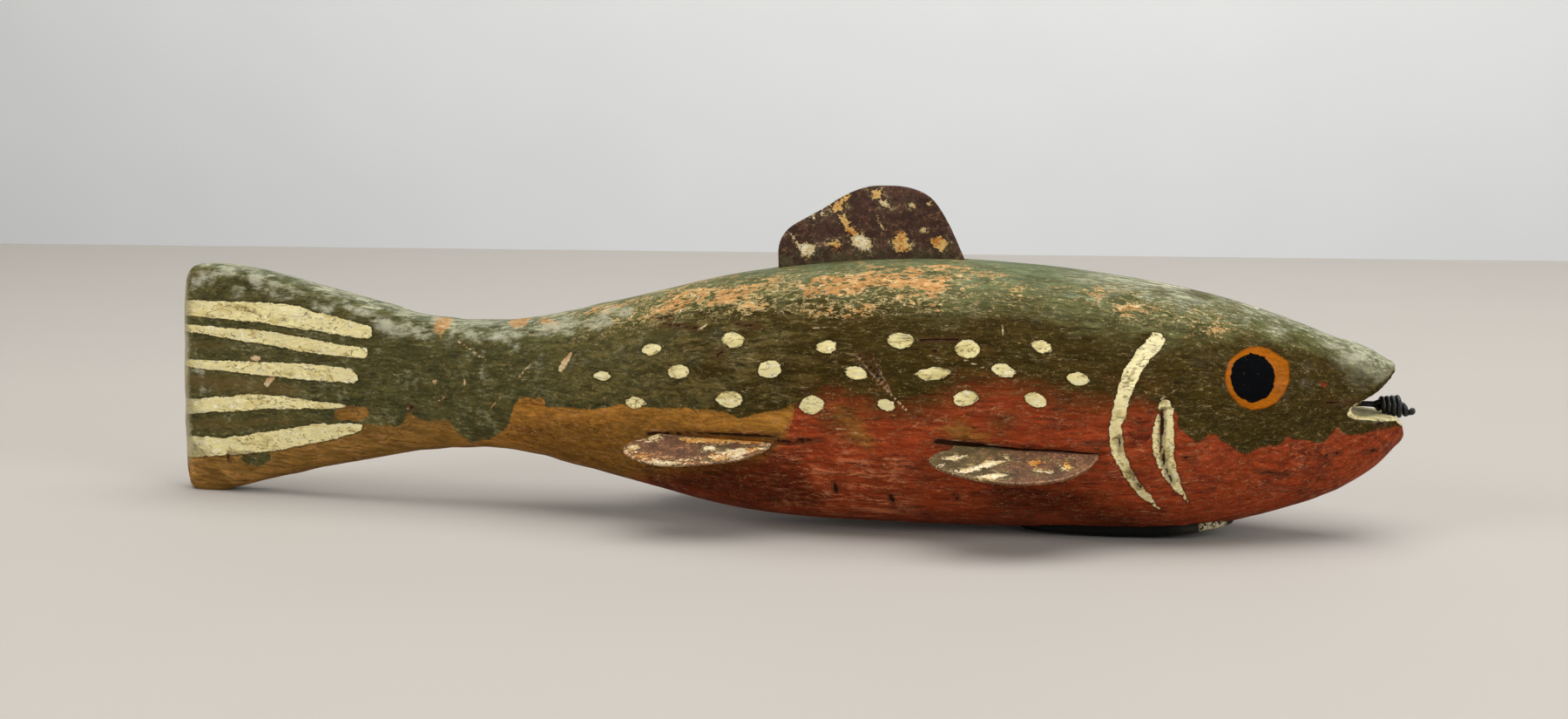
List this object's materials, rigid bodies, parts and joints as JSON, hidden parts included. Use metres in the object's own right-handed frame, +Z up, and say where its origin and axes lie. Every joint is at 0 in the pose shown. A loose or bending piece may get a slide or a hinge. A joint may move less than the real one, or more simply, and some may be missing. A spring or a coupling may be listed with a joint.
{
  "type": "fish decoy",
  "caption": "Carved and painted wooden fish with sheet metal fins, a poured weight in its belly and a stiff line wire in its mouth, jigged under the ice to draw fish to the spear.",
  "frame": {"origin": "middle of the belly weight's flat underside, on which the fish rests", "axes": "+X towards the nose, +Z up through the back fin, -Y towards the fish's right side"},
  "size_m": [0.2169, 0.0568, 0.0571],
  "materials": {
    "painted_wood": "hand painted in olive green, ochre and red with cream marks, worn and satin",
    "painted_sheet": "flaking paint over darkened sheet steel",
    "poured_lead": "dull poured lead with traces of paint",
    "line_wire": "blackened soft steel wire"
  },
  "bodies": {
    "root": {"body": "painted_wood", "belly_weight": "poured_lead", "mouth_wire": "line_wire", "dorsal_fin": "painted_sheet", "pectoral_fin_right": "painted_sheet", "pelvic_fin_right": "painted_sheet", "pectoral_fin_left": "painted_sheet", "pelvic_fin_left": "painted_sheet"}
  },
  "joints": []
}
